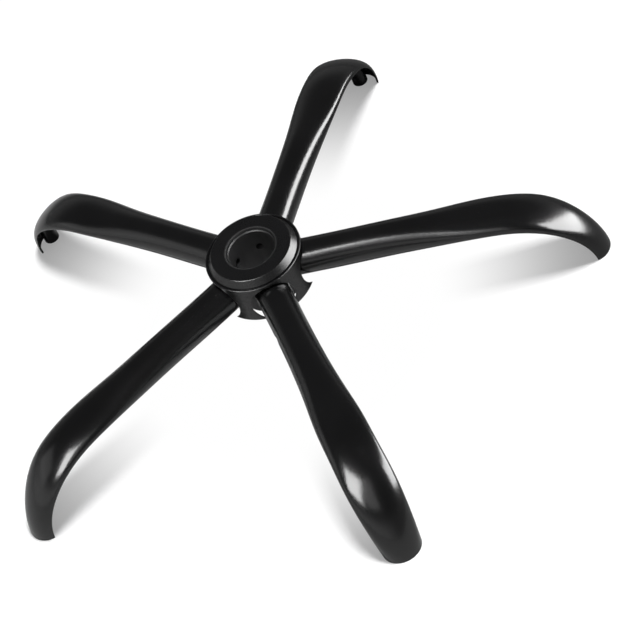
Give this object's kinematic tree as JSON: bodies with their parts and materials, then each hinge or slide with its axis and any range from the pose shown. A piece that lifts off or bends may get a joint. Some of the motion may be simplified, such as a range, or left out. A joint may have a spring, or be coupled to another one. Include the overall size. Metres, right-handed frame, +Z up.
{
  "type": "office chair five star base",
  "caption": "Office chair star base of bent steel tube legs with hooded ends, caster sockets, a tapered column sleeve and a moulded hub cover.",
  "frame": {"origin": "on the floor, on the column's axis", "axes": "+Z up along the column's axis, the first leg along -Y"},
  "size_m": [0.6786, 0.6476, 0.1247],
  "materials": {
    "black_paint": "semi-gloss black paint",
    "cover_plastic": "satin black moulding"
  },
  "bodies": {
    "root": {"column_sleeve": "black_paint", "hub_cover": "cover_plastic", "leg_1": "black_paint", "leg_2": "black_paint", "leg_3": "black_paint", "leg_4": "black_paint", "leg_5": "black_paint", "caster_socket_1": "black_paint", "caster_socket_2": "black_paint", "caster_socket_3": "black_paint", "caster_socket_4": "black_paint", "caster_socket_5": "black_paint"}
  },
  "joints": []
}
